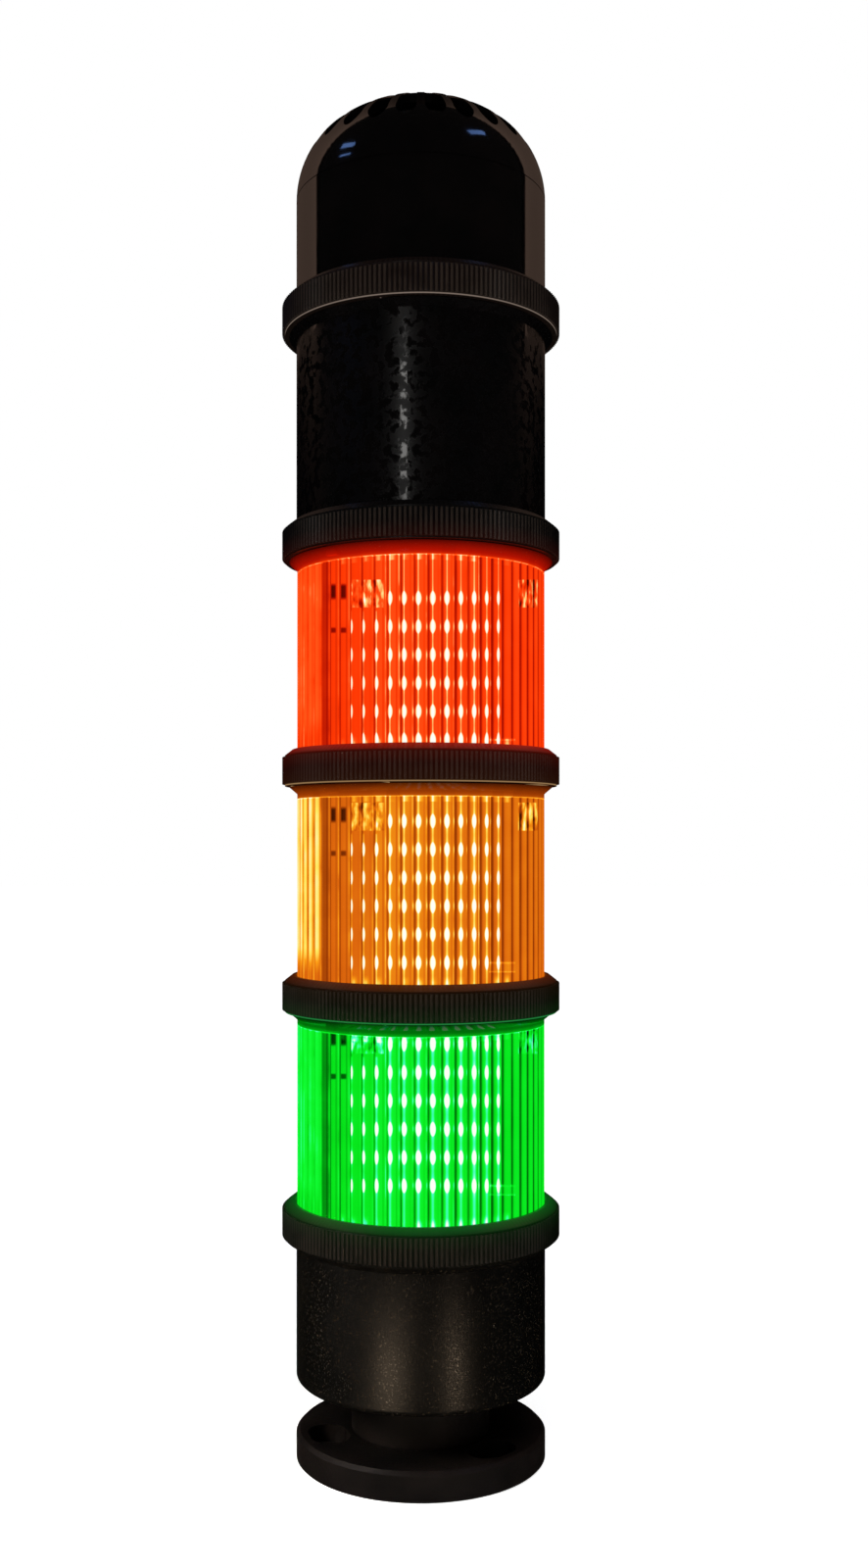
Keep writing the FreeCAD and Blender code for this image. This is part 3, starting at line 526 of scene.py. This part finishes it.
# %% Glow of the flutes
# the middle and the width of each soft band, across a flute or over the flutes
LEFT_VALLEY, RIGHT_VALLEY, FAINT_LINE = (-0.43, 0.095), (0.53, 0.07), (0.24, 0.05)
CROWN, EDGE_LINE = (0.1, 0.3), (0.40, 0.035)
FRONT_FLUTES = (1.0, 5.0)
TINT_LIGHT, TONE_LIGHT, DRIFT_LIGHT = 0.34, 0.07, 0.08
FRONT_LIGHT, CROWN_LIGHT, EDGE_LIGHT, VALLEY_SHADE = 0.06, 0.03, 0.28, 0.24


def flute_glow(flute, across, tone, drift):
    """The tint's own glow: a tone for each flute, with dark valleys and lines of light."""
    field = TINT_LIGHT + tone * TONE_LIGHT + flute.bell(*FRONT_FLUTES) * FRONT_LIGHT + across.bell(*CROWN) * CROWN_LIGHT
    valley = across.bell(*LEFT_VALLEY) + across.bell(*RIGHT_VALLEY) + across.bell(*FAINT_LINE) * tone * 0.6
    edge_line = across.bell(*EDGE_LINE) * drift.above(0.45, 0.2) * (tone * 0.5 + 0.5)
    return field - valley * VALLEY_SHADE + edge_line * EDGE_LIGHT + (drift - 0.5) * DRIFT_LIGHT


print("the valleys are", RIGHT_VALLEY[0] - LEFT_VALLEY[0], "of a flute apart")

# %% Strips beside the board
STRIPS_END, DARK_BAND_END, DIM_BAND_END = -8.45, -7.6, -5.6
STRIP_HALF_WIDTH, STRIP_FOOT = 0.31, 0.005
DARK_BAND_SHADE, DIM_BAND_SHADE, STRIP_DRIFT = 0.17, 0.04, 0.12


def strip_glow(flute, across, z, drift, ring_top, strip_light):
    """Plain lit strips on the left, and the dark band between them and the chips."""
    strips = (1 - flute.above(STRIPS_END, 0.06)) * (1 - abs(across).above(STRIP_HALF_WIDTH, 0.09))
    fading = z.above(ring_top + STRIP_FOOT, 0.004)
    dark_band = flute.between(STRIPS_END, DARK_BAND_END, 0.05) * DARK_BAND_SHADE
    dim_band = flute.between(DARK_BAND_END, DIM_BAND_END, 0.1) * DIM_BAND_SHADE
    return strips * fading * (strip_light + drift * STRIP_DRIFT) - dark_band - dim_band


print("the dark band is", round((DARK_BAND_END - STRIPS_END) * 360 / FLUTES, 1), "degrees wide")

# %% Ends of the tube
COLLAR = 0.0033
RIM, SILL = (0.0048, 0.0034), 0.0012
SPOT_FLUTES = (-6.5, 7.5)
RIM_LIGHT, SILL_LIGHT, COLLAR_LIGHT, LINE_LIGHT = 0.22, 0.30, 0.22, 0.10


def end_glow(flute, across, z, drift, head, ring_top):
    """Bright spots at the head and the foot of the flutes."""
    rim = z.between(head - RIM[0], head - RIM[1], 0.0002)
    sill = 1 - z.above(ring_top + SILL, SILL)
    spots = across.bell(-0.1, 0.22) * drift.above(0.42, 0.12) * flute.between(*SPOT_FLUTES, 0.5)
    return (rim * RIM_LIGHT + sill * SILL_LIGHT) * spots


def under_collar(heat, z, drift, head):
    """The heat of the flutes, with painted shade of the ring on the collar above it and a painted bright line between.
    """
    # painted shade: the collar's glow fades to dark next to the ring above it, and a painted highlight line runs along
    # its foot
    collar = z.above(head - COLLAR, 0.0001)
    depth = (head - z) / COLLAR
    bright_line = z.bell(head - COLLAR, 0.00016) * (LINE_LIGHT + drift * 0.36)
    return heat * (1 - collar) + collar * depth * (COLLAR_LIGHT + drift * 0.08) + bright_line


print("the collar is", COLLAR * 1000, "mm high")

# %% All the light on a lens
TONE_STEP, TONE_START = 1.37, 5
DRIFT_STEP, DRIFT_PER_METRE = 3.7, 90


def lens_heat(finish, chips, shell, ring_top, spread, strip_light):
    """How hot the light looks at each point of a lens: 0 is unlit tint and 1 is a chip's bare light."""
    flute, number, z, seen_height = flute_place(finish)
    across = flute - number
    head = shell[1].z
    tone = finish.add("TexWhiteNoise", {"noise_dimensions": "1D"}, {"W": number * TONE_STEP + TONE_START})
    drift = finish.flat_noise(number * DRIFT_STEP, z * DRIFT_PER_METRE, 3.0)
    heat = flute_glow(flute, across, tone, drift)
    heat = heat + strip_glow(flute, across, z, drift, ring_top, strip_light)
    heat = heat + chip_light(finish, flute, number, seen_height, chips, spread)
    heat = heat + carrier_marks(finish, flute, number, seen_height, shell)
    heat = heat + end_glow(flute, across, z, drift, head, ring_top)
    return under_collar(heat, z, drift, head)


print("a flute's glow changes over about", round(1000 / DRIFT_PER_METRE), "mm of its height")

# %% [markdown]
# ### From heat to colour
# A coloured lamp that is too bright for the eye goes through its tint to white. The ramp does the same: five screen
# colours for each lens, from its dark tint to its hot one, and then bare light. The amber lens has the strongest
# strips, and the green one spreads its streaks the most.

# %% Tinted lens material
BARE_LIGHT = (255, 255, 246)
HEAT_STEPS = (0.0, 0.18, 0.38, 0.58, 0.78, 0.98)
UNLIT_SHARE = 0.25
# for each lens: the spread of its streaks, the light of its strips, and its tints from dark to hot
LENS_LIGHT = {
    "green": (0.13, 0.12, ((0, 30, 2), (0, 112, 8), (6, 228, 26), (16, 250, 50), (70, 255, 196))),
    "amber": (0.075, 0.34, ((52, 12, 0), (150, 56, 3), (220, 102, 12), (252, 158, 22), (255, 234, 96))),
    "red": (0.05, 0.08, ((66, 2, 0), (176, 16, 1), (254, 56, 3), (255, 90, 26), (255, 216, 126))),
}


def lens_finish(colour, ring_top, spread, strip_light, tints):
    """A clear lens whose light goes from a dark tint to almost white."""
    finish = Finish(f"Lit {colour} lens", IOR=1.45, Roughness=0.10, Specular_IOR_Level=0.3, Emission_Strength=1.0)
    heat = lens_heat(finish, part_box(f"{colour}_leds"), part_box(f"{colour}_lens"), ring_top, spread, strip_light)
    finish.feed("Emission Color", finish.ramp(
        heat, *((step, linear(*tint)) for step, tint in zip(HEAT_STEPS, tints + (BARE_LIGHT,)))))
    unlit = linear(*(channel * UNLIT_SHARE for channel in tints[1]))
    finish.surface.inputs["Base Color"].default_value = unlit + (1,)
    return finish.material


def lit_chip(name, colour):
    """A chip seen directly: bare light with a little of its colour."""
    finish = Finish(name, Roughness=0.3, Emission_Strength=4.0)
    finish.feed("Emission Color", finish.ramp(
        finish.noise(0.003), (0.3, linear(*colour)), (0.8, linear(255, 255, 245))))
    return finish.material


for level, (colour, (spread, strip_light, tints)) in enumerate(LENS_LIGHT.items(), start=1):
    ring_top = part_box(f"locking_ring_{level}")[1].z
    dress(lens_finish(colour, ring_top, spread, strip_light, tints), f"{colour}_lens")
    dress(lit_chip(f"Lit {colour} chip", tints[3]), f"{colour}_led")

# %% [markdown]
# ## Small parts inside
# Boards, pins, seals and screws hardly show, but a reader who opens the model finds them, so each gets a plain finish
# with the roughness that such a piece has. One function and a table do for all of them.

# %% Inner finishes
def plain(name, colour, roughness, metallic=0.0, grain=0.0012, depth=0.00002):
    """A quiet surface: a slightly clouded colour and a fine grain."""
    finish = Finish(name, Metallic=metallic)
    cloud = finish.noise(grain * 6)
    darker = linear(*(channel * 0.85 for channel in colour))
    finish.feed("Base Color", finish.ramp(cloud, (0.3, darker), (0.7, linear(*colour))))
    finish.feed("Roughness", cloud * 0.12 + roughness)
    finish.bump(finish.noise(grain), depth, 0.5)
    return finish.material


# for each slot: the finish's name, its screen colour and its roughness, and 1 for a metal
INNER_FINISHES = {
    "inner_black": ("Inner black moulding", (38, 38, 38), 0.42),
    "board_laminate": ("White solder mask", (214, 218, 208), 0.35),
    "chip_black": ("Chip body", (30, 30, 31), 0.5),
    "relay_blue": ("Relay case", (34, 62, 120), 0.35),
    "terminal_grey": ("Terminal body", (138, 141, 143), 0.45),
    "transducer_black": ("Transducer case", (22, 22, 22), 0.4),
    "zinc_steel": ("Zinc plated steel", (190, 190, 184), 0.28, 1.0),
    "contact_brass": ("Plated brass", (220, 190, 120), 0.25, 1.0),
    "seal_rubber": ("Seal rubber", (20, 20, 20), 0.7),
}
for slot, values in INNER_FINISHES.items():
    dress(plain(*values), slot)

# %% [markdown]
# ## Dust gauze
# Behind the slots of a sounder's dome lies a cup of fine black gauze, which lets the sound out and keeps dust off the
# disc below. Without it one looks in through the near slots and out through the far ones. A curve could be spun to the
# same shape, but half a sphere is quicker: it is cut at its middle, squashed to a shallow cup that stands on the lip of
# the shell, and then gets its thickness.

# %% Dust gauze
GAUZE_RADIUS = 0.0316
GAUZE_RISE = 0.0200
GAUZE_THICKNESS = 0.0004


def dust_gauze():
    """A shallow cup that stands on the lip of the sounder's shell, clear of the dome's ribs."""
    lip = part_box("sounder_housing")[1].z
    bpy.ops.object.select_all(action="DESELECT")
    bpy.ops.mesh.primitive_uv_sphere_add(segments=72, ring_count=35, radius=GAUZE_RADIUS, location=(0, 0, 0))
    gauze = bpy.context.object
    gauze.name = "dust_gauze"
    bpy.ops.object.mode_set(mode="EDIT")
    bpy.ops.mesh.select_all(action="SELECT")
    bpy.ops.mesh.bisect(plane_co=(0, 0, 0), plane_no=(0, 0, 1), clear_inner=True)
    bpy.ops.object.mode_set(mode="OBJECT")
    gauze.scale.z = GAUZE_RISE / GAUZE_RADIUS
    gauze.location.z = lip
    bpy.ops.object.transform_apply(location=True, rotation=True, scale=True)
    wall = gauze.modifiers.new("Gauze thickness", "SOLIDIFY")
    wall.thickness = GAUZE_THICKNESS
    bpy.ops.object.modifier_apply(modifier=wall.name)
    bpy.ops.object.shade_smooth()
    gauze.data.materials.append(plain("Black gauze", (9, 9, 9), 0.75, grain=0.0008, depth=0.0001))
    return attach(gauze, "tower")


gauze = dust_gauze()
heights = [vertex.co.z for vertex in gauze.data.vertices]
print("dust gauze:", len(gauze.data.polygons), "faces, from", round(min(heights), 4), "to", round(max(heights), 4))

# %% [markdown]
# ## Floor
# The tower stands on a white sheet. A curved backdrop is the usual way to lose the horizon. Here a flat floor that
# glows up to full white away from the tower does it, and near the tower it is a little darker, so it can take a faint
# shadow. The polished shells don't mirror it, because it would veil the lenses.

# %% Floor
FLOOR_SIZE = 12
SHADOW_RADIUS, WHITE_RADIUS = 0.12, 0.45


def pale_floor():
    """A white sheet that takes a faint shadow near the tower and fades into the backdrop."""
    bpy.ops.object.select_all(action="DESELECT")
    bpy.ops.mesh.primitive_plane_add(size=FLOOR_SIZE, location=(0, 0, 0))
    floor = bpy.context.object
    floor.name = "floor"
    finish = Finish("Pale floor", Roughness=0.9, Specular_IOR_Level=0.1, Emission_Strength=1.0)
    finish.surface.inputs["Base Color"].default_value = (0.85, 0.85, 0.84, 1)
    x, y = finish.axes("XY")
    away = (x * x + y * y) ** 0.5
    finish.feed("Emission Color", finish.ramp(
        away, (SHADOW_RADIUS, (0.80, 0.80, 0.80)), (WHITE_RADIUS, (1.0, 1.0, 1.0))))
    floor.data.materials.append(finish.material)
    floor.visible_glossy = False
    return floor


print("floor:", tuple(round(side, 2) for side in pale_floor().dimensions))

# %% [markdown]
# ## What the gloss mirrors
# Gloss black shows only what it mirrors. The dome's shell mirrors a warm wall behind the tower in its outer edges,
# brighter to the sides. A room could be built for that, but one plane that only reflections see is enough, and a ramp
# over its own width and height paints it. The rest of the room is almost dark for reflections and white for the eye.

# %% Warm wall
WALL_SIZE = 4
WALL_BEHIND, WALL_MIDDLE = 0.5, 1.0
WALL_END = 1.4
WALL_FOOT, WALL_SLANT = 0.41, 0.26


def warm_wall():
    """A wall that only reflections see: brighter away from the middle, and none of it below a slanting edge."""
    bpy.ops.object.select_all(action="DESELECT")
    bpy.ops.mesh.primitive_plane_add(
        size=WALL_SIZE, location=(0, WALL_BEHIND, WALL_MIDDLE), rotation=(math.radians(90), 0, 0))
    bpy.ops.object.transform_apply()
    wall = bpy.context.object
    wall.name = "warm_wall"
    finish = Finish("Warm wall", Roughness=0.9, Emission_Strength=1.0)
    finish.surface.inputs["Base Color"].default_value = (0, 0, 0, 1)
    x, z = finish.axes("XZ")
    side = abs(x)
    share = side * 0.5 * (1 - side.above(WALL_END, 0.05)) * (z - side * WALL_SLANT).above(WALL_FOOT, 0.02)
    finish.feed("Emission Color", finish.ramp(share, (0.0, (0, 0, 0)), (1.0, (0.82, 0.53, 0.40))))
    wall.data.materials.append(finish.material)
    wall.visible_camera = wall.visible_diffuse = wall.visible_shadow = False
    return wall


print("warm wall:", tuple(round(side, 2) for side in warm_wall().dimensions))

# %% White for the eye, dark for reflections
def white_world():
    world = bpy.data.worlds.new("Studio")
    world.use_nodes = True
    nodes, links = world.node_tree.nodes, world.node_tree.links
    seen, mirrored = nodes["Background"], nodes.new("ShaderNodeBackground")
    seen.inputs["Color"].default_value = (1, 1, 1, 1)
    mirrored.inputs["Color"].default_value = (0.012, 0.011, 0.010, 1)
    path, choice = nodes.new("ShaderNodeLightPath"), nodes.new("ShaderNodeMixShader")
    links.new(path.outputs["Is Camera Ray"], choice.inputs["Fac"])
    links.new(mirrored.outputs[0], choice.inputs[1])
    links.new(seen.outputs[0], choice.inputs[2])
    links.new(choice.outputs[0], nodes["World Output"].inputs["Surface"])
    bpy.context.scene.world = world
    return world


print("world nodes:", len(white_world().node_tree.nodes))

# %% [markdown]
# ## Lamps
# A large soft lamp overhead gives the matt pieces their shape. It isn't mirrored, as it would be a white patch on the
# dome. Small lamps are mirrored instead: one draws a streak down the plain module, three cool ones stand in for
# skylights over the dome, one lights the foot, and two low ones in front draw the two warm bands on the base.

# %% Lamps
DOME = (0, 0, 0.355)
BASE_FRONT = (0, -0.034, 0.038)
SKY_BLUE, LAMP_WARM = (0.22, 0.42, 1.0), (1.0, 0.74, 0.50)


def lamp(name, place, aim, size, watts, colour=(1, 1, 1), spread=180):
    """A soft rectangular lamp that faces a point, with its light kept to a cone of some degrees."""
    light = bpy.data.lights.new(name, "AREA")
    light.shape = "RECTANGLE"
    light.size, light.size_y = size
    light.energy = watts
    light.color = colour
    light.spread = math.radians(spread)
    holder = bpy.data.objects.new(name, light)
    holder.location = place
    holder.rotation_euler = (Vector(aim) - Vector(place)).to_track_quat("-Z", "Y").to_euler()
    bpy.context.scene.collection.objects.link(holder)
    print(f"{name}: {watts} W")
    return holder


lamp("Overhead softbox", (0.3, -0.5, 1.6), (0, 0, 0.15), (0.9, 0.9), 9).visible_glossy = False
lamp("Streak lamp", (-0.26, -0.97, 0.535), (0, 0, 0.28), (0.10, 0.12), 0.16, (1.0, 0.98, 0.95))
lamp("Foot lamp", (-0.28, -0.16, 0.22), (-0.028, -0.004, 0.010), (0.08, 0.08), 0.05, (1.0, 0.86, 0.74), spread=40)
lamp("Left pane", (-0.92, -0.20, 1.13), DOME, (0.26, 0.09), 0.35, SKY_BLUE)
lamp("Lower left pane", (-1.02, -0.28, 0.97), DOME, (0.24, 0.035), 0.14, SKY_BLUE)
lamp("Right pane", (0.70, -0.29, 1.31), DOME, (0.30, 0.10), 0.40, SKY_BLUE)
for name, place, width, watts in (
    ("Wide low lamp", (-0.037, -0.092, 0.010), 0.035, 0.0010),
    ("Narrow low lamp", (0.046, -0.096, 0.010), 0.008, 0.0006),
):
    lamp(name, place, BASE_FRONT, (width, 0.018), watts, LAMP_WARM, spread=60).visible_camera = False
bpy.context.scene.view_settings.view_transform = "Standard"
